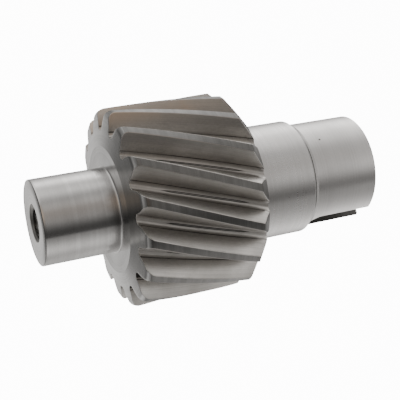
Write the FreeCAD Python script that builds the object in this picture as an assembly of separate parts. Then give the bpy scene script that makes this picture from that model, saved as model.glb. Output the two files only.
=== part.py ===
# Helical gear shaft, one piece of steel: journal, gear, collar and keyed seat on one axis.
# Sizes in millimetres. The shaft stands on its keyed end, with the axis along Z.
# The keyway opens towards -Y.
import FreeCAD, Part
import os
from math import atan, atan2, cos, degrees, pi, radians, sin, sqrt, tan

# Front journal, with its tapped hole
journal_radius = 12.5
journal_length = 22.0
journal_edge = 0.3
thread_radius = 5.0
thread_depth = 22.0
hole_mouth_radius = 5.75
tapping_drill_radius = 4.25
tapping_drill_depth = 27.0
drill_point_angle = 118.0

# Gear, with a standard 20 degree profile and a right-hand helix
tooth_count = 16
normal_module = 3.0
pressure_angle = 20.0
helix_angle = 19.0
profile_shift = 0.5
root_depth_factor = 1.25
tip_radius = 29.25
root_fillet = 1.14
tooth_phase = -8.3

# Faces of the gear
hub_ring_radius = 18.75
front_cone_angle = 9.0
front_corner_radius = 2.4
gear_body_length = 40.2
rear_bevel_length = 4.1
rear_bevel_radius = 24.1
corner_bevel = 0.4

# Collar behind the gear
collar_radius = 17.5
collar_length = 18.6

# Keyed seat at the rear end, reached by a bevel with a crease in it
step_bevel_length = 2.1
crease_drop = 0.7
crease_length = 0.8
seat_radius = 16.0
seat_length = 20.3
seat_edge = 0.4
key_width = 8.0
key_depth = 4.0
keyway_length = 20.8

# Centre hole in the rear face
centre_drill_radius = 2.5
centre_cone_radius = 5.3
centre_cone_angle = 60.0
centre_drill_depth = 9.0

# Heights along the axis, from the rear face up
step_low = seat_length
step_high = step_low + step_bevel_length
gear_rear = step_high + collar_length
gear_front = gear_rear + gear_body_length
total_length = gear_front + journal_length
axis = FreeCAD.Vector(0, 0, 1)
origin = FreeCAD.Vector(0, 0, 0)


def at(radius, height):
    """Point of the turned outline."""
    return FreeCAD.Vector(radius, 0, height)


def on_circle(centre, radius, angle):
    """Point of a circle in the half plane of the outline."""
    return at(centre[0] + radius * cos(radians(angle)), centre[1] + radius * sin(radians(angle)))


def lines(points):
    return [Part.LineSegment(start, end).toShape() for start, end in zip(points, points[1:])]


def revolved(edges):
    """Solid turned from a closed outline about the axis."""
    return Part.Face(Part.Wire(edges)).revolve(origin, axis, 360)


# Turned blank: the front cone runs into the tooth tips by a round corner
cone = radians(front_cone_angle)
tangent_length = front_corner_radius * tan((pi / 2 - cone) / 2)
corner_height = gear_front - (tip_radius - hub_ring_radius) * tan(cone)
round_centre = (tip_radius - front_corner_radius, corner_height - tangent_length)
cone_end = at(tip_radius - tangent_length * cos(cone), corner_height + tangent_length * sin(cone))
round_end = at(tip_radius, corner_height - tangent_length)
round_middle = on_circle(round_centre, front_corner_radius, (90 - front_cone_angle) / 2)

rear_points = [at(0, 0),
               at(seat_radius - seat_edge, 0),
               at(seat_radius, seat_edge),
               at(seat_radius, step_low),
               at(collar_radius - crease_drop, step_high - crease_length),
               at(collar_radius, step_high),
               at(collar_radius, gear_rear - corner_bevel),
               at(collar_radius + corner_bevel, gear_rear),
               at(rear_bevel_radius, gear_rear),
               at(tip_radius, gear_rear + rear_bevel_length),
               round_end]
front_points = [cone_end,
                at(hub_ring_radius, gear_front),
                at(journal_radius + corner_bevel, gear_front),
                at(journal_radius, gear_front + corner_bevel),
                at(journal_radius, total_length - journal_edge),
                at(journal_radius - journal_edge, total_length),
                at(0, total_length),
                at(0, 0)]

outline = lines(rear_points) + lines(front_points)
outline.append(Part.Arc(round_end, round_middle, cone_end).toShape())
blank = revolved(Part.__sortEdges__(outline))

# Tooth profile across the axis
helix = radians(helix_angle)
pitch_radius = tooth_count * normal_module / 2 / cos(helix)
across_angle = atan(tan(radians(pressure_angle)) / cos(helix))
base_radius = pitch_radius * cos(across_angle)
root_radius = pitch_radius - (root_depth_factor - profile_shift) * normal_module
thickness = normal_module * (pi / 2 + 2 * profile_shift * tan(radians(pressure_angle))) / cos(helix)
base_half_angle = thickness / (2 * pitch_radius) + tan(across_angle) - across_angle
half_pitch = pi / tooth_count


def around(radius, angle):
    """Point of the section at an angle from the middle of a tooth space."""
    return FreeCAD.Vector(radius * cos(angle), radius * sin(angle), 0)


def flank(roll):
    """Involute: roll is the tangent of the pressure angle, counted from the base circle."""
    return around(base_radius * sqrt(1 + roll ** 2), half_pitch - base_half_angle + roll - atan(roll))


def fillet(share):
    """Root fillet: share goes from 0 on the root circle to 1 on the flank."""
    angle = fillet_turn + pi - fillet_span * share
    return fillet_centre + FreeCAD.Vector(cos(angle), sin(angle), 0) * root_fillet


# The fillet touches the root circle and the flank. Short flats follow both curves to 0.02 mm.
fillet_reach = sqrt((root_radius + root_fillet) ** 2 - base_radius ** 2)
roll_low = (fillet_reach - root_fillet) / base_radius
fillet_turn = half_pitch - base_half_angle + roll_low - atan2(fillet_reach, base_radius)
fillet_span = pi / 2 - atan2(fillet_reach, base_radius)
fillet_centre = around(root_radius + root_fillet, fillet_turn)
space_radius = tip_radius + normal_module
roll_high = sqrt((space_radius / base_radius) ** 2 - 1)
fillet_flats = 3
flank_flats = 8
side = [fillet(i / fillet_flats) for i in range(fillet_flats)]
side += [flank(roll_low + (roll_high - roll_low) * i / flank_flats) for i in range(flank_flats + 1)]
other_side = [FreeCAD.Vector(p.x, -p.y, 0) for p in reversed(side)]
space_section = Part.makePolygon(other_side + side + other_side[:1])

# One tooth space lofted along the helix, then copied round the blank
overrun = 1.5
space_low = gear_rear - overrun
space_length = gear_body_length + 2 * overrun
lead = 2 * pi * pitch_radius / tan(helix)
section_count = 5
sections = []
for i in range(section_count):
    height = space_low + space_length * i / (section_count - 1)
    section = space_section.copy()
    section.rotate(origin, axis, tooth_phase + degrees(half_pitch) + 360 * height / lead)
    section.translate(axis * height)
    sections.append(section)
space = Part.makeLoft(sections, True)
spaces = []
for i in range(tooth_count):
    copy = space.copy()
    copy.rotate(origin, axis, 360.0 * i / tooth_count)
    spaces.append(copy)
gear_shaft = blank.cut(spaces)

# Tapped hole in the front end, at the thread's outer radius
mouth_low = total_length - (hole_mouth_radius - thread_radius)
thread_low = total_length - thread_depth
drill_low = total_length - tapping_drill_depth
point_low = drill_low - tapping_drill_radius / tan(radians(drill_point_angle / 2))
hole_points = [at(0, point_low),
               at(tapping_drill_radius, drill_low),
               at(tapping_drill_radius, thread_low),
               at(thread_radius, thread_low),
               at(thread_radius, mouth_low),
               at(hole_mouth_radius, total_length),
               at(hole_mouth_radius, total_length + overrun),
               at(0, total_length + overrun),
               at(0, point_low)]
hole = revolved(lines(hole_points))
gear_shaft = gear_shaft.cut(hole)

# Centre hole in the rear end
cone_height = (centre_cone_radius - centre_drill_radius) / tan(radians(centre_cone_angle / 2))
drill_tip = centre_drill_depth + centre_drill_radius / tan(radians(drill_point_angle / 2))
centre_points = [at(0, -overrun),
                 at(centre_cone_radius, -overrun),
                 at(centre_cone_radius, 0),
                 at(centre_drill_radius, cone_height),
                 at(centre_drill_radius, centre_drill_depth),
                 at(0, drill_tip),
                 at(0, -overrun)]
centre_hole = revolved(lines(centre_points))
gear_shaft = gear_shaft.cut(centre_hole)

# Keyway: open at the rear end, round at its inner end
key_floor = seat_radius - key_depth
key_reach = seat_radius + key_depth
key_end = keyway_length - key_width / 2
slot = Part.makeBox(key_width, key_reach - key_floor, key_end + overrun,
                    FreeCAD.Vector(-key_width / 2, -key_reach, -overrun))
slot_end = Part.makeCylinder(key_width / 2, key_reach - key_floor,
                             FreeCAD.Vector(0, -key_reach, key_end), FreeCAD.Vector(0, 1, 0))
gear_shaft = gear_shaft.cut(slot.fuse(slot_end))

os.makedirs("parts", exist_ok=True)
gear_shaft.Solids[0].exportStep("parts/helical_gear_shaft.step")
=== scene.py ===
import bpy
import numpy as np
from mathutils import Matrix, Vector


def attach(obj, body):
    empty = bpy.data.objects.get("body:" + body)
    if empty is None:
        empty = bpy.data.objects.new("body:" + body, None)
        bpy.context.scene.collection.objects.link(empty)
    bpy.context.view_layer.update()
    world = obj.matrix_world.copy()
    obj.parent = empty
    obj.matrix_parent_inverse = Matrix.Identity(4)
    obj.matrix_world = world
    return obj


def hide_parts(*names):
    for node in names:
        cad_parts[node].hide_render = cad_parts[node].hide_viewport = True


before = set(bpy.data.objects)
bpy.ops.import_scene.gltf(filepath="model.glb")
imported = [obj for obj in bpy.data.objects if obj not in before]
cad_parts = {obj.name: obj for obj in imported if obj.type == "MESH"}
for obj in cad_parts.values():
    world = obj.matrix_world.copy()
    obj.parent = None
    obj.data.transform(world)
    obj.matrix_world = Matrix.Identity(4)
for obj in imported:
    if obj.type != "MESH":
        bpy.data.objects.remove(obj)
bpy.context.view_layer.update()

# Gear teeth
# Sixteen right-hand helical teeth in one with the shaft, with ground involute flanks and
# round root fillets. The blank's front cone, round corner and rear bevel cut them off.
tooth_count = 16
pitch = 2 * np.pi / tooth_count
normal_module = 0.003
helix = np.radians(19.0)
pressure = np.radians(20.0)
profile_shift = 0.5
root_depth_factor = 1.25
pitch_radius = tooth_count * normal_module / 2 / np.cos(helix)
lead = 2 * np.pi * pitch_radius / np.tan(helix)
root_radius = pitch_radius - (root_depth_factor - profile_shift) * normal_module
root_fillet = 0.00114
tip_radius = 0.02925
tooth_phase = np.radians(-8.3)
edge_break = 0.00012

# Points on a fillet and on a flank, which runs on past the tips by a twentieth.
fillet_points, flank_points, past_tip = 60, 240, 1.05


def half_tooth():
    """Radius, angle and length along the tooth's side, from the root circle up, in the plane across
    the axis. The fillet is an arc that touches the root circle and the flank; the flank is the
    involute r = rb * sqrt(1 + t * t) at the angle t - atan(t), for t growing from the base circle."""
    across = np.arctan(np.tan(pressure) / np.cos(helix))
    base = pitch_radius * np.cos(across)
    thickness = normal_module * (np.pi / 2 + 2 * profile_shift * np.tan(pressure)) / np.cos(helix)
    start = pitch / 2 - thickness / (2 * pitch_radius) - np.tan(across) + across
    centre = root_radius + root_fillet
    reach = np.sqrt(centre ** 2 - base ** 2)
    t_low = (reach - root_fillet) / base
    t_high = np.sqrt((tip_radius * past_tip / base) ** 2 - 1)
    turn = start + t_low - np.arctan2(reach, base)
    span = np.pi / 2 - np.arctan2(reach, base)
    bend = turn + np.pi - span * np.linspace(0, 1, fillet_points)
    arc = np.stack([centre * np.cos(turn) + root_fillet * np.cos(bend),
                    centre * np.sin(turn) + root_fillet * np.sin(bend)], -1)
    t = np.linspace(t_low, t_high, flank_points)[1:]
    radius, angle = base * np.sqrt(1 + t * t), start + t - np.arctan(t)
    flank = np.stack([radius * np.cos(angle), radius * np.sin(angle)], -1)
    side = np.concatenate([arc, flank])
    length = np.concatenate([[0], np.cumsum(np.linalg.norm(np.diff(side, axis=0), axis=1))])
    return np.linalg.norm(side, axis=1), np.arctan2(side[:, 1], side[:, 0]), length


# Shares of the root, the side and the land where a half pitch has its points. Points that
# lie on no tooth's side carry a length beyond any side.
root_steps = np.array([0, 1 / 3, 2 / 3])
side_steps = np.linspace(0, 1, 19) ** 1.3
land_steps = np.linspace(0, 1, 5)
off_tooth = 0.02
side_radius, side_angle, side_length = half_tooth()


def gear_rings(outline):
    """One ring round the gear for each point (radius, height) of the blank's outline. A half pitch
    runs from the middle of a space: root circle, side up to the blank less a small break of the
    edge, land on the blank. It is mirrored, repeated and turned by 360 degrees a lead."""
    limit, height = outline[:, :1], outline[:, 1:]
    root = side_angle[0] * root_steps + 0 * limit
    side = np.interp(limit - edge_break, side_radius, side_length) * side_steps
    corner = np.interp(limit, side_radius, side_angle) + edge_break / limit
    land = corner + (pitch / 2 - corner) * land_steps
    angle = np.concatenate([root, np.interp(side, side_length, side_angle), land], 1)
    radius = np.concatenate([root_radius + 0 * root, np.interp(side, side_length, side_radius),
                             limit + 0 * land], 1)
    place = np.concatenate([root_radius * (root - side_angle[0]), side, off_tooth + 0 * land], 1)
    angle = np.concatenate([angle, pitch - angle[:, -2:0:-1]], 1)
    radius = np.minimum(np.concatenate([radius, radius[:, -2:0:-1]], 1), limit)
    place = np.concatenate([place, place[:, -2:0:-1]], 1)
    turn = tooth_phase + pitch / 2 + 2 * np.pi * height / lead
    angle = np.concatenate([angle + turn + pitch * k for k in range(tooth_count)], 1)
    radius = np.tile(radius, tooth_count)
    points = np.stack([radius * np.cos(angle), radius * np.sin(angle), height + 0 * angle], -1)
    return points, np.tile(place, tooth_count)


def woven(points):
    """Triangles over rings of points: each cell between two rings is cut in two, and the last
    column joins the first. Rings that follow the outline face outwards."""
    rows, columns = points.shape[:2]
    index = np.arange(rows * columns).reshape(rows, columns)
    index = np.concatenate([index, index[:, :1]], 1)
    a, b, c, d = index[:-1, :-1], index[:-1, 1:], index[1:, 1:], index[1:, :-1]
    return np.concatenate([np.stack([a, b, c], -1).reshape(-1, 3), np.stack([a, c, d], -1).reshape(-1, 3)])


def cells(points):
    """Row and column of the cell that each woven triangle lies in."""
    rows, columns = points.shape[:2]
    cell = np.tile(np.arange((rows - 1) * columns), 2)
    return cell // columns, cell % columns


skins = []


def laid(rings, finish, place=off_tooth):
    """Lays rings of points on the shaft as one skin, with a finish for all of it or each triangle."""
    skins.append((rings, woven(rings), finish, place))


# Outline of the gear from the rear face forward: bevel, tips, round corner, front cone, and
# the corner of the hub ring, where the cone has cut the tooth spaces away.
gear_rear, gear_front, hub_radius = 0.041, 0.0812, 0.01875
cone = np.radians(9.0)
corner_radius = 0.0024
corner_low = (gear_front - (tip_radius - hub_radius) * np.tan(cone)
              - corner_radius * np.tan(np.pi / 4 - cone / 2))
bend = np.linspace(0, np.pi / 2 - cone, 9)[:, None]
corner = np.concatenate([tip_radius - corner_radius * (1 - np.cos(bend)),
                         corner_low + corner_radius * np.sin(bend)], 1)
rear_bevel = np.array([(0.0240, 0.0410), (0.0242, 0.0411), (0.0267, 0.04309), (0.0291, 0.0450),
                       (0.02925, 0.0452)])
body_rings = 36
body = np.stack([np.full(body_rings, tip_radius), np.linspace(0.0460, corner_low - 0.0008, body_rings)], -1)
down = np.linspace(corner[-1, 0], root_radius, 8)[1:, None]
front = np.concatenate([down, gear_front - (down - hub_radius) * np.tan(cone)], 1)
shoulder = np.array([(0.0210, gear_front - (0.0210 - hub_radius) * np.tan(cone)), (hub_radius, gear_front)])
gear_points, gear_place = gear_rings(np.concatenate([rear_bevel, body, corner, front, shoulder]))

# The lands are turned. The lathe's front face begins three rings into the round corner, and the
# hub ring belongs to it all round.
front_from = len(rear_bevel) + len(body) + 3
row, column = cells(gear_points)
column = column % (gear_points.shape[1] // tooth_count)
land_start = len(root_steps) + len(side_steps)
on_land = (column >= land_start) & (column < land_start + 2 * (len(land_steps) - 1))
on_front = row >= front_from
on_bevel = row < len(rear_bevel) - 1
on_hub = row >= len(gear_points) - len(shoulder) - 1
gear_finish = np.where(on_land, np.where(on_bevel, "shaded_turned_bevel", "turned_land"), "ground_flank")
laid(gear_points, np.where(on_land & on_front | on_hub, "turned_face", gear_finish), gear_place)


def group(name, inputs, outputs):
    """An empty node group with named number sockets, and its two ends."""
    tree = bpy.data.node_groups.new(name, "ShaderNodeTree")
    for label, value in inputs.items():
        tree.interface.new_socket(label, in_out="INPUT", socket_type="NodeSocketFloat").default_value = value
    for label in outputs:
        tree.interface.new_socket(label, in_out="OUTPUT", socket_type="NodeSocketFloat")
    return tree, tree.nodes.new("NodeGroupInput"), tree.nodes.new("NodeGroupOutput")


def math_node(tree, kind, first, second=None, third=None):
    """One Math node; each of its values is a number or another node's output."""
    node = tree.nodes.new("ShaderNodeMath")
    node.operation = kind
    for socket, value in zip(node.inputs, (first, second, third)):
        if isinstance(value, bpy.types.NodeSocket):
            tree.links.new(value, socket)
        elif value is not None:
            socket.default_value = value
    return node.outputs[0]


def ramp_node(tree, value, low, high, start=0.0, end=1.0):
    """Smooth step of a value between low and high."""
    node = tree.nodes.new("ShaderNodeMapRange")
    node.interpolation_type = "SMOOTHSTEP"
    tree.links.new(value, node.inputs["Value"])
    for label, number in (("From Min", low), ("From Max", high), ("To Min", start), ("To Max", end)):
        node.inputs[label].default_value = number
    return node.outputs["Result"]


def noise_node(tree, scale, detail, roughness=0.5):
    """One Noise Texture node."""
    node = tree.nodes.new("ShaderNodeTexNoise")
    node.inputs["Scale"].default_value = scale
    node.inputs["Detail"].default_value = detail
    node.inputs["Roughness"].default_value = roughness
    return node


def cutting_marks():
    """Fine lines left by the wheel or the tool: two noises along one line across the marks, one
    fine and one coarse, that waver a little with the place on the piece."""
    tree, ends, out = group("cutting_marks", {"Across": 0, "Spacing": 0.0004, "Waver": 0.3}, ["Height", "Tone"])
    drift = noise_node(tree, 90, 3)
    tree.links.new(tree.nodes.new("ShaderNodeTexCoord").outputs["Object"], drift.inputs["Vector"])
    line = math_node(tree, "DIVIDE", ends.outputs["Across"], ends.outputs["Spacing"])
    line = math_node(tree, "MULTIPLY_ADD", drift.outputs["Fac"], ends.outputs["Waver"], line)
    layers = []
    for share, detail in ((1.0, 4), (0.17, 3)):
        noise = noise_node(tree, 1, detail, 0.7)
        noise.noise_dimensions = "1D"
        tree.links.new(math_node(tree, "MULTIPLY", line, share), noise.inputs["W"])
        layers.append(noise.outputs["Fac"])
    fine, coarse = layers
    tree.links.new(math_node(tree, "MULTIPLY_ADD", coarse, 0.6, fine), out.inputs["Height"])
    both = math_node(tree, "MULTIPLY", math_node(tree, "ADD", fine, coarse), 0.5)
    tree.links.new(ramp_node(tree, both, 0.36, 0.64), out.inputs["Tone"])
    return tree


def handling():
    """Clouds of duller and brighter metal from oil and handling, with small specks."""
    tree, ends, out = group("handling", {"Size": 0.012}, ["Cloud", "Speck"])
    place = tree.nodes.new("ShaderNodeTexCoord").outputs["Object"]
    grow = tree.nodes.new("ShaderNodeVectorMath")
    grow.operation = "SCALE"
    tree.links.new(place, grow.inputs[0])
    tree.links.new(math_node(tree, "DIVIDE", 1.0, ends.outputs["Size"]), grow.inputs["Scale"])
    cloud = noise_node(tree, 1, 5, 0.6)
    tree.links.new(grow.outputs[0], cloud.inputs["Vector"])
    tree.links.new(ramp_node(tree, cloud.outputs["Fac"], 0.32, 0.68), out.inputs["Cloud"])
    speck = noise_node(tree, 2400, 2)
    tree.links.new(place, speck.inputs["Vector"])
    tree.links.new(ramp_node(tree, speck.outputs["Fac"], 0.3, 0.7), out.inputs["Speck"])
    return tree


# What the marks, the clouds and the specks each count for in the tone of a steel.
mark_share, cloud_share, speck_share = 0.45, 0.42, 0.13
marks_group, handling_group = cutting_marks(), handling()
finishes = {}


def steel(name, bright, dull, rough, marks, spacing, depth, brushed=0.0, waver=0.3):
    """Bare steel: its colour lies between dull and bright by the marks, the clouds and the specks,
    its roughness follows them the other way, and the marks stand out as fine relief. The marks
    are counted along the axis, outwards from it, or up the tooth's side. Gives what stains and
    painted light and shade need: the node tree, the shader, and the outputs that tell a spot's
    place and its cloud."""
    material = bpy.data.materials.new(name)
    material.use_nodes = True
    tree = material.node_tree
    shader = tree.nodes["Principled BSDF"]
    shader.inputs["Metallic"].default_value = 1.0
    shader.inputs["Anisotropic"].default_value = brushed
    shader.inputs["Anisotropic Rotation"].default_value = 0.25
    place = tree.nodes.new("ShaderNodeSeparateXYZ")
    tree.links.new(tree.nodes.new("ShaderNodeTexCoord").outputs["Object"], place.inputs[0])
    x, y, z = place.outputs
    outwards = math_node(tree, "SQRT", math_node(tree, "MULTIPLY_ADD", x, x, math_node(tree, "MULTIPLY", y, y)))
    side = tree.nodes.new("ShaderNodeAttribute")
    side.attribute_name = "tooth_side"
    spot = {"x": x, "y": y, "axis": z, "outwards": outwards, "side": side.outputs["Fac"]}
    lines = tree.nodes.new("ShaderNodeGroup")
    lines.node_tree = marks_group
    tree.links.new(spot[marks], lines.inputs["Across"])
    lines.inputs["Spacing"].default_value = spacing
    lines.inputs["Waver"].default_value = waver
    clouds = tree.nodes.new("ShaderNodeGroup")
    clouds.node_tree = handling_group
    spot["cloud"] = clouds.outputs["Cloud"]
    tone = math_node(tree, "MULTIPLY", lines.outputs["Tone"], mark_share)
    tone = math_node(tree, "MULTIPLY_ADD", clouds.outputs["Cloud"], cloud_share, tone)
    tone = math_node(tree, "MULTIPLY_ADD", clouds.outputs["Speck"], speck_share, tone)
    colour = tree.nodes.new("ShaderNodeMix")
    colour.data_type = "RGBA"
    colour.inputs["A"].default_value = (*dull, 1)
    colour.inputs["B"].default_value = (*bright, 1)
    tree.links.new(tone, colour.inputs["Factor"])
    tree.links.new(colour.outputs["Result"], shader.inputs["Base Color"])
    tree.links.new(math_node(tree, "MULTIPLY_ADD", tone, -0.35 * rough, 1.17 * rough), shader.inputs["Roughness"])
    relief = tree.nodes.new("ShaderNodeBump")
    relief.inputs["Distance"].default_value = depth
    relief.inputs["Strength"].default_value = 1.0
    tree.links.new(math_node(tree, "MULTIPLY_ADD", clouds.outputs["Speck"], 0.1, lines.outputs["Height"]),
                   relief.inputs["Height"])
    tree.links.new(relief.outputs["Normal"], shader.inputs["Normal"])
    if brushed:
        round_axis = tree.nodes.new("ShaderNodeTangent")
        round_axis.direction_type = "RADIAL"
        round_axis.axis = "Z"
        tree.links.new(round_axis.outputs["Tangent"], shader.inputs["Tangent"])
    finishes[name] = material
    return tree, shader, spot


def stain_and_painted_light(tree, shader, mask, tint):
    """Lays a painted colour over what the shader's colour already is, where the mask is one: a stain, or painted
    light and shade.
    """
    before = shader.inputs["Base Color"].links[0].from_socket
    over = tree.nodes.new("ShaderNodeMix")
    over.data_type = "RGBA"
    over.inputs["B"].default_value = (*tint, 1)
    tree.links.new(before, over.inputs["A"])
    tree.links.new(mask, over.inputs["Factor"])
    tree.links.new(over.outputs["Result"], shader.inputs["Base Color"])


def away(tree, value, centre):
    """Distance of a value from a fixed one."""
    return math_node(tree, "ABSOLUTE", math_node(tree, "SUBTRACT", value, centre))


# A narrow strip along the middle of each root is darker, with a grey middle. It is widest
#  halfway along the gear and ends in a point towards both ends.
tree, shader, spot = steel("ground_flank", (0.55, 0.532, 0.508), (0.39, 0.376, 0.356), 0.50,
                           "side", 0.0006, 0.000002)
strip_middle = 0.0595
strip_edge = ramp_node(tree, away(tree, spot["axis"], strip_middle), 0.0090, 0.0150, 0.0, -0.00042)
within = math_node(tree, "SUBTRACT", strip_edge, spot["side"])
stain_and_painted_light(tree, shader, ramp_node(tree, within, -0.00008, 0.00006), (0.045, 0.042, 0.039))
stain_and_painted_light(tree, shader, ramp_node(tree, within, 0.00016, 0.00030), (0.30, 0.29, 0.28))

# Painted reflection: a warm brown tint is painted in patches on the flanks on the side away from the keyway,
# stronger towards the front, where they show a warm light.
warm_reflection = math_node(tree, "MULTIPLY_ADD", spot["y"], 0.98, math_node(tree, "MULTIPLY", spot["x"], 0.17))
warm_reflection = math_node(tree, "MULTIPLY", ramp_node(tree, warm_reflection, 0.0185, 0.0265),
                 ramp_node(tree, spot["axis"], 0.046, 0.062, 0.3, 1.0))
warm_reflection = math_node(tree, "MULTIPLY", warm_reflection, ramp_node(tree, spot["cloud"], 0.1, 0.9, 0.45, 0.95))
stain_and_painted_light(tree, shader, warm_reflection, (0.50, 0.415, 0.34))

# Painted shadow: a fine dark line is painted along the flanks above the root fillet, broken up
#  by the clouds.
shadow_line_radius = 0.0242
shadow_line_place = float(np.interp(shadow_line_radius, side_radius, side_length))
line = ramp_node(tree, away(tree, spot["side"], shadow_line_place), 0.00006, 0.00026, 1.0, 0.0)
line = math_node(tree, "MULTIPLY", line, ramp_node(tree, spot["cloud"], 0.0, 0.6, 0.55, 0.95))
stain_and_painted_light(tree, shader, line, (0.10, 0.095, 0.088))
# Painted shade: the front ends of the spaces on the keyway's side are painted almost black.
root_end_shade = math_node(tree, "MULTIPLY", ramp_node(tree, spot["y"], -0.0205, -0.0185, 1.0, 0.0),
                 ramp_node(tree, spot["axis"], 0.0778, 0.0786))
root_end_shade = math_node(tree, "MULTIPLY", root_end_shade, ramp_node(tree, spot["side"], 0.0009, 0.0015, 1.0, 0.0))
stain_and_painted_light(tree, shader, root_end_shade, (0.03, 0.029, 0.027))

steel("turned_land", (0.235, 0.231, 0.225), (0.145, 0.143, 0.139), 0.34, "axis", 0.00035, 0.000003, waver=1.5)
# Painted shade: the rear bevel's steel is painted much darker than the other turned faces.
steel("shaded_turned_bevel", (0.075, 0.073, 0.071), (0.04, 0.039, 0.038), 0.40, "outwards", 0.0003, 0.000002)
steel("turned_face", (0.40, 0.396, 0.39), (0.28, 0.277, 0.272), 0.22, "outwards", 0.0005, 0.0000008, brushed=0.4)


# Front journal
# Ground bearing seat of 25 mm in front of the gear, with a flat turned ring at its foot,
# a small relief in the corner and a bevelled rim round the turned front face.
def turned(outline, columns=240):
    """Rings about the axis: each point (radius, height) of the outline turns once round."""
    angle = np.arange(columns) * 2 * np.pi / columns
    radius, height = np.asarray(outline, float)[:, :1], np.asarray(outline, float)[:, 1:]
    return np.stack([radius * np.cos(angle), radius * np.sin(angle), height + 0 * angle], -1)


def stitched(first, second):
    """Triangles between two rings of any numbers of points: going round, the next triangle takes
    the next point of the ring that lags behind in angle. Indices run over first, then second."""
    ways = [np.mod(np.arctan2(ring[:, 1], ring[:, 0]), 2 * np.pi) for ring in (first, second)]
    orders = [np.argsort(way, kind="stable") for way in ways]
    nexts = [np.append(way[order][1:], way[order][0] + 2 * np.pi) for way, order in zip(ways, orders)]
    steps = np.argsort(np.concatenate(nexts), kind="stable")
    on_first = steps < len(first)
    i, j = np.cumsum(on_first) - on_first, np.cumsum(~on_first) - ~on_first
    a = orders[0][i % len(first)]
    b = orders[0][(i + 1) % len(first)]
    c = len(first) + orders[1][(j + 1) % len(second)]
    d = len(first) + orders[1][j % len(second)]
    return np.where(on_first[:, None], np.stack([a, b, d], -1), np.stack([a, c, d], -1))


def joined(first, second, finish):
    """Flat strip between two rings, kept as a skin of its own."""
    skins.append((np.concatenate([first, second]), stitched(first, second), finish, off_tooth))


top = 0.1032
foot_ring = turned([(0.0160, gear_front), (0.0131, gear_front)])
joined(gear_points[-1], foot_ring[0], "turned_face")
laid(foot_ring, "turned_face")
laid(turned([(0.0131, gear_front), (0.0129, gear_front), (0.01272, 0.08125), (0.01255, 0.08142),
             (0.0125, 0.0816), (0.0125, 0.0820), (0.0125, 0.0920), (0.0125, 0.1024), (0.0125, 0.1029),
             (0.01243, 0.1031), (0.0122, top)]), "ground_journal")
front_face = turned([(0.0122, top), (0.0090, top)])
laid(front_face, "turned_face")

# Painted shade: the rim is painted as a thin dark line, and the lower half of the foot's corner is painted darker.
tree, shader, spot = steel("ground_journal", (0.70, 0.69, 0.68), (0.54, 0.53, 0.52), 0.18,
                           "axis", 0.0013, 0.0000004, brushed=0.5)
stain_and_painted_light(tree, shader, ramp_node(tree, spot["axis"], 0.10304, 0.10310), (0.14, 0.135, 0.13))
stain_and_painted_light(tree, shader, ramp_node(tree, spot["axis"], 0.08130, 0.08140, 0.85, 0.0), (0.30, 0.295, 0.29))


# Tapped hole
# M10 thread cut into the front end on the axis, below a 45 degree countersink. The thread
# ends in a plain drilled hole with a pointed bottom.
thread_outer, thread_inner, thread_pitch = 0.0050, 0.00425, 0.0015
thread_top, thread_low = 0.10245, 0.0812
drill_low, drill_point = 0.0762, 0.07365
hole_columns = 96


def threaded():
    """Inside of the thread, from its top down: the radius falls from the outer to the inner one
    by a rounded ridge once a pitch, and the ridge's height grows by a pitch each turn. The ridge
    fades out over the last half pitch at both ends."""
    angle = np.arange(hole_columns) * 2 * np.pi / hole_columns
    height = np.linspace(thread_top, thread_low, 144)[:, None]
    turn = height / thread_pitch - angle / (2 * np.pi)
    ridge = np.clip(0.5 + 0.9 * np.cos(2 * np.pi * turn), 0, 1)
    fade = np.clip(np.minimum(thread_top - height, height - thread_low) / thread_pitch * 2, 0, 1)
    radius = thread_outer - (thread_outer - thread_inner) * ridge * fade
    return np.stack([radius * np.cos(angle), radius * np.sin(angle), height + 0 * angle], -1)


mouth = turned([(0.0063, top), (0.00575, top), (thread_outer, thread_top)], hole_columns)
joined(front_face[-1], mouth[0], "turned_face")
laid(mouth, np.where(cells(mouth)[0] == 0, "turned_face", "cut_thread"))
laid(threaded(), "cut_thread")
laid(turned([(thread_outer, thread_low), (thread_inner, thread_low), (thread_inner, drill_low),
             (0, drill_point)], hole_columns), "cut_thread")

# Painted highlights: the ridges' crests and the countersink's rim are painted bright.
tree, shader, spot = steel("cut_thread", (0.26, 0.255, 0.245), (0.13, 0.128, 0.122), 0.38,
                           "axis", 0.0003, 0.000002)
stain_and_painted_light(tree, shader, ramp_node(tree, spot["outwards"], 0.0043, 0.0047, 1.0, 0.0), (0.72, 0.71, 0.69))
stain_and_painted_light(tree, shader, ramp_node(tree, spot["outwards"], 0.00555, 0.00565), (0.74, 0.73, 0.71))


# Collar and keyed seat
# Ground bearing collar of 35 mm behind the gear, then a turned step down to the 32 mm seat.
# An 8 mm keyway with a round inner end is milled along the seat, open at the rear face.
key_half, key_floor, key_round = 0.0040, 0.0120, 0.0168
key_break, floor_fillet = 0.00018, 0.0003
crease_radius, crease_height = 0.0168, 0.0216
collar_radius, collar_rear = 0.0175, 0.0224
seat_spans, floor_spans = 240, 8


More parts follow.
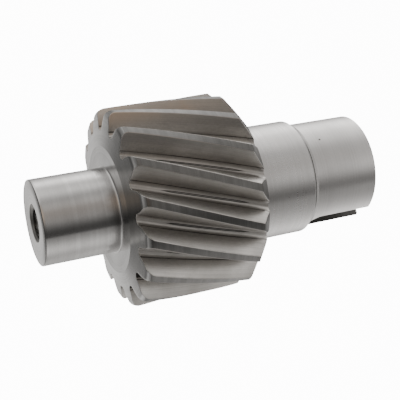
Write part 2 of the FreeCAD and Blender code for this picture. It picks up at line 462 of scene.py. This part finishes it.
def keyed_rings(outline, straight, arc):
    """Rings from the rear face up, each a circle that leaves a gap at -Y, closed by the cross
    section of the keyway. The gap is the keyway's half width: constant along the straight part,
    then the half chord of its round end, and nothing above it. Rows follow the outline."""
    turn = np.linspace(np.pi / 2, 0, arc)[1:, None]
    low = np.append([0, 0.0004], np.linspace(0.0012, key_round, straight - 2))[:, None]
    halves = (key_half + key_break, key_half, key_half - 0.3 * floor_fillet, key_half - floor_fillet)
    slot = [np.concatenate([0 * low + size, size * np.sin(turn)]) for size in halves]
    rise = [np.concatenate([low, key_round + size * np.cos(turn)]) for size in halves]
    radius = [np.interp(z, outline[:, 1], outline[:, 0]) for z in rise]
    gap = np.arcsin(slot[0] / radius[0])
    angle = -np.pi / 2 + gap + (2 * np.pi - 2 * gap) * np.linspace(0, 1, seat_spans + 1)
    seat = np.stack([radius[0] * np.cos(angle), radius[0] * np.sin(angle), rise[0] + 0 * angle], -1)
    lip = -np.sqrt(radius[1] ** 2 - slot[1] ** 2) + key_break
    depths = (-key_floor - floor_fillet, -key_floor - 0.3 * floor_fillet, -key_floor)
    deep = [lip] + [0 * lip + depth for depth in depths]
    side = np.stack([np.concatenate([slot[1], slot[1], slot[2], slot[3]], 1),
                     np.concatenate(deep, 1),
                     np.concatenate([rise[1], rise[1], rise[2], rise[3]], 1)], -1)
    across = np.linspace(-1, 1, floor_spans + 1)[1:-1]
    floor = np.stack([slot[3] * across, -key_floor + 0 * slot[3] * across, rise[3] + 0 * across], -1)
    return np.concatenate([seat, side * np.array([-1, 1, 1]), floor, side[:, ::-1]], 1)


rear_outline = np.array([(0.0156, 0.0), (0.0160, 0.0004), (0.0160, 0.0203), (crease_radius, crease_height),
                         (collar_radius, collar_rear)])
seat = keyed_rings(rear_outline, straight=12, arc=25)
step_from = 0.0202
row, column = cells(seat)
seat_finish = np.where(seat[row, 0, 2] > step_from, "turned_step", "ground_seat")
laid(seat, np.where(column >= seat_spans, "shaded_milled_keyway", seat_finish))
step = turned([(crease_radius, crease_height), (collar_radius, collar_rear)])
joined(seat[-1, :seat_spans], step[0], "turned_step")
laid(step, "turned_step")
laid(turned([(collar_radius, collar_rear), (collar_radius, 0.0227), (collar_radius, 0.0400),
             (collar_radius, 0.0406), (0.01755, 0.04075), (0.01768, 0.04090), (0.0179, gear_rear)]),
     "ground_collar")
rear_wall = turned([(0.0179, gear_rear), (0.0200, gear_rear)])
laid(rear_wall, "turned_face")
joined(rear_wall[-1], gear_points[0], "turned_face")

# Painted shade: the keyway's steel is painted dark, for the shadow that lies in it.
steel("shaded_milled_keyway", (0.18, 0.176, 0.171), (0.095, 0.093, 0.09), 0.42, "axis", 0.0005, 0.000004)
steel("ground_collar", (0.71, 0.695, 0.685), (0.57, 0.56, 0.55), 0.29, "axis", 0.0005, 0.0000004, brushed=0.4)

# Painted shade: the step's crease is painted dark, most of it on one side.
tree, shader, spot = steel("turned_step", (0.39, 0.384, 0.378), (0.30, 0.295, 0.29), 0.40,
                           "axis", 0.0003, 0.000002, brushed=0.4)
crease_shade = ramp_node(tree, away(tree, spot["axis"], crease_height), 0.00014, 0.00028, 1.0, 0.0)
shaded_side = math_node(tree, "MULTIPLY_ADD", spot["x"], 0.945, math_node(tree, "MULTIPLY", spot["y"], -0.326))
crease_shade = math_node(tree, "MULTIPLY", crease_shade, ramp_node(tree, shaded_side, 0.0120, 0.0150))
stain_and_painted_light(tree, shader, crease_shade, (0.02, 0.019, 0.018))

# One small pit on the seat.
tree, shader, spot = steel("ground_seat", (0.69, 0.675, 0.665), (0.55, 0.54, 0.53), 0.33,
                           "axis", 0.0005, 0.0000003, brushed=0.4)
pit = tree.nodes.new("ShaderNodeVectorMath")
pit.operation = "DISTANCE"
pit.inputs[1].default_value = (0.01496, 0.00567, 0.01598)
tree.links.new(tree.nodes.new("ShaderNodeTexCoord").outputs["Object"], pit.inputs[0])
stain_and_painted_light(tree, shader, ramp_node(tree, pit.outputs["Value"], 0.00020, 0.00042, 1.0, 0.0), (0.10, 0.095, 0.09))


# Rear face with its centre hole
# Square turned face that the shaft stands on. The 60 degree centre hole held it between
# centres while it was turned and ground.
def rear_face():
    """Strip from a ring about the centre hole to the rim and the keyway's cross section: each
    point of the outer edge gets an angle on the ring, in the same order, so that no line crosses.
    The angles run round the rim, up one wall of the keyway, along its floor and down the other."""
    edge = seat[0]
    rim, floor = np.linspace(-37, 217, seat_spans + 1), np.linspace(221, 319, floor_spans + 1)
    way = np.radians(np.concatenate([rim, [218.5, 219, 219.5], floor, [320.5, 321, 321.5]]))
    inner = inner_radius * np.stack([np.cos(way), np.sin(way), 0 * way], -1)
    return np.stack([inner, edge * np.array([1, 1, 0])])


inner_radius = 0.0080
rear = rear_face()
laid(rear, "turned_face")
centre_hole = turned([(0, 0.0105), (0.0025, 0.0090), (0.0025, 0.00485), (0.0053, 0)], hole_columns)
laid(centre_hole, "turned_face")
joined(centre_hole[-1], rear[0], "turned_face")


# The shaft
# All the surfaces above are one piece of steel: they are welded where they share points. Two
# circles on it, given by radius and height, are sharp although the surface turns little there.
sharp_circles = ((hub_radius, gear_front), (crease_radius, crease_height))
circle_width = 0.000002
weld_distance = 1e-7
sharp_from = np.radians(24)


def welded(name):
    """One closed mesh: points of the skins within a tenth of a micrometre become one point, and
    triangles that lose a corner by that are dropped. Edges are sharp from 24 degrees, and round
    the sharp circles."""
    points, faces, labels, places, offset = [], [], [], [], 0
    for rings, cut, finish, place in skins:
        flat = rings.reshape(-1, 3)
        points.append(flat)
        faces.append(cut + offset)
        labels.append(np.broadcast_to(finish, len(cut)))
        places.append(np.broadcast_to(np.ravel(place), len(flat)))
        offset += len(flat)
    points, faces = np.concatenate(points), np.concatenate(faces)
    labels, places = np.concatenate(labels), np.concatenate(places)
    grid = np.round(points / weld_distance).astype(np.int64)
    first, merged = np.unique(grid, axis=0, return_index=True, return_inverse=True)[1:]
    faces = merged.reshape(-1)[faces]
    kept = (faces[:, 0] != faces[:, 1]) & (faces[:, 1] != faces[:, 2]) & (faces[:, 2] != faces[:, 0])
    mesh = bpy.data.meshes.new(name)
    mesh.from_pydata(points[first].tolist(), [], faces[kept].tolist())
    numbers = np.zeros(len(labels), np.int32)
    for number, (label, material) in enumerate(finishes.items()):
        mesh.materials.append(material)
        numbers[labels == label] = number
    mesh.polygons.foreach_set("material_index", numbers[kept])
    mesh.attributes.new("tooth_side", "FLOAT", "POINT").data.foreach_set("value", places[first].astype(np.float32))
    mesh.polygons.foreach_set("use_smooth", np.ones(len(mesh.polygons), bool))
    mesh.update()
    mesh.set_sharp_from_angle(angle=sharp_from)
    ends = np.empty(2 * len(mesh.edges), np.int32)
    mesh.edges.foreach_get("vertices", ends)
    ends = points[first][ends.reshape(-1, 2)]
    sharp = np.empty(len(mesh.edges), bool)
    mesh.attributes["sharp_edge"].data.foreach_get("value", sharp)
    for radius, height in sharp_circles:
        off = np.abs(np.hypot(ends[..., 0], ends[..., 1]) - radius) + np.abs(ends[..., 2] - height)
        sharp |= off.max(1) < circle_width
    mesh.attributes["sharp_edge"].data.foreach_set("value", sharp)
    return mesh


shaft = bpy.data.objects.new("shaft", welded("shaft"))
bpy.context.scene.collection.objects.link(shaft)
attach(shaft, "root")
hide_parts("helical_gear_shaft")

# Studio
# A wide pale floor under the shaft, a pale backdrop behind it and soft light all round.
backdrop_strength = 13.0
floor_half = 9
floor_mesh = bpy.data.meshes.new("floor")
floor_mesh.from_pydata([(-floor_half, -floor_half, 0), (floor_half, -floor_half, 0),
                        (floor_half, floor_half, 0), (-floor_half, floor_half, 0)], [], [(0, 1, 2, 3)])
floor = bpy.data.objects.new("floor", floor_mesh)
bpy.context.scene.collection.objects.link(floor)
floor_material = bpy.data.materials.new("pale_floor")
floor_material.use_nodes = True
floor_shader = floor_material.node_tree.nodes["Principled BSDF"]
floor_shader.inputs["Base Color"].default_value = (0.9, 0.9, 0.9, 1)
floor_shader.inputs["Emission Color"].default_value = (1, 1, 1, 1)
floor_shader.inputs["Emission Strength"].default_value = backdrop_strength
floor_mesh.materials.append(floor_material)
floor.visible_glossy = False

# Soft lights round the shaft, each a patch of sky: azimuth and height in degrees, sharpness,
# strength and colour. They stand in the world, so that the shaft shows them from every side.
world = bpy.data.worlds.new("studio")
bpy.context.scene.world = world
world.use_nodes = True
sky = world.node_tree
sky.nodes.clear()
white, warm = (1.0, 0.985, 0.965), (1.0, 0.74, 0.52)
ambient_strength = 0.2
soft_lights = [(100, -42, 14, 3.0, white), (190, 35, 5, 1.36, white), (0, -65, 14, 1.53, white),
               (-140, -42, 14, 2.1, white), (54, 10, 14, 0.96, white), (-100, -5, 20, 0.77, white),
               (162, 10, 14, 0.63, white), (100, -18, 40, 1.41, white), (60, -42, 14, 1.0, white),
               (-60, -65, 14, 1.2, white), (20, -18, 40, 0.34, white), (-20, -42, 14, 0.66, white),
               (90, 10, 14, 1.23, white), (-80, -5, 20, 0.23, white), (60, -18, 40, 0.42, white),
               (120, -18, 40, 0.63, white), (4, 13, 14, 0.4, warm), (60, 75, 14, 0.5, white)]
looked = sky.nodes.new("ShaderNodeTexCoord").outputs["Generated"]


def facing(azimuth, height):
    """Cosine of the angle between the way looked in and a direction given in degrees."""
    a, h = np.radians(azimuth), np.radians(height)
    node = sky.nodes.new("ShaderNodeVectorMath")
    node.operation = "DOT_PRODUCT"
    sky.links.new(looked, node.inputs[0])
    node.inputs[1].default_value = (np.cos(h) * np.cos(a), np.cos(h) * np.sin(a), np.sin(h))
    return node.outputs["Value"]


def scaled(colour, share):
    """A colour, fixed or from a node, times a number from a node."""
    node = sky.nodes.new("ShaderNodeVectorMath")
    node.operation = "SCALE"
    if isinstance(colour, bpy.types.NodeSocket):
        sky.links.new(colour, node.inputs[0])
    else:
        node.inputs[0].default_value = colour
    sky.links.new(share, node.inputs["Scale"])
    return node.outputs[0]


ambient = sky.nodes.new("ShaderNodeCombineXYZ")
for socket, share in zip(ambient.inputs, white):
    socket.default_value = ambient_strength * share
total = ambient.outputs[0]
for azimuth, height, sharpness, strength, colour in soft_lights:
    glow = math_node(sky, "SUBTRACT", facing(azimuth, height), 1.0)
    glow = math_node(sky, "EXPONENT", math_node(sky, "MULTIPLY", glow, float(sharpness)))
    both = sky.nodes.new("ShaderNodeVectorMath")
    both.operation = "ADD"
    sky.links.new(total, both.inputs[0])
    sky.links.new(scaled(colour, math_node(sky, "MULTIPLY", glow, strength)), both.inputs[1])
    total = both.outputs[0]

# A dark card on one side, with one sharp edge: ground steel shows it as a dark band. A second,
# soft one above the front end darkens the gear's cone. Each takes off a share of the light.
side_card_share, front_card_share = 0.7, 0.8
side_card = math_node(sky, "MULTIPLY", ramp_node(sky, facing(29, 0), -0.03, 0.02),
                      ramp_node(sky, facing(-120, 0), -0.25, 0.35))
front_card = ramp_node(sky, facing(168, 48), 0.78, 0.95)
past_side = math_node(sky, "SUBTRACT", 1.0, math_node(sky, "MULTIPLY", side_card, side_card_share))
past_front = math_node(sky, "SUBTRACT", 1.0, math_node(sky, "MULTIPLY", front_card, front_card_share))

# The camera sees the plain backdrop instead of the lights.
background = sky.nodes.new("ShaderNodeBackground")
sky.links.new(scaled(total, math_node(sky, "MULTIPLY", past_side, past_front)), background.inputs["Color"])
backdrop = sky.nodes.new("ShaderNodeBackground")
backdrop.inputs["Color"].default_value = (1, 1, 1, 1)
backdrop.inputs["Strength"].default_value = backdrop_strength
seen = sky.nodes.new("ShaderNodeMixShader")
sky.links.new(sky.nodes.new("ShaderNodeLightPath").outputs["Is Camera Ray"], seen.inputs[0])
sky.links.new(background.outputs[0], seen.inputs[1])
sky.links.new(backdrop.outputs[0], seen.inputs[2])
sky.links.new(seen.outputs[0], sky.nodes.new("ShaderNodeOutputWorld").inputs["Surface"])

# The camera looks from the front journal's side, rolled so that the shaft lies across the picture.
lens = bpy.data.cameras.new("camera")
lens.lens = 82.82
lens.sensor_width = 36
lens.clip_start = 0.01
camera = bpy.data.objects.new("camera", lens)
bpy.context.scene.collection.objects.link(camera)
position = (0.25032, -0.06661, 0.15253)
right = Vector((0.29671, -0.26597, -0.91718))
up = Vector((0.30890, 0.93553, -0.17137))
back = Vector((0.90363, -0.23247, 0.35974))
camera.matrix_world = Matrix.Translation(position) @ Matrix((right, up, back)).transposed().to_4x4()
bpy.context.scene.camera = camera
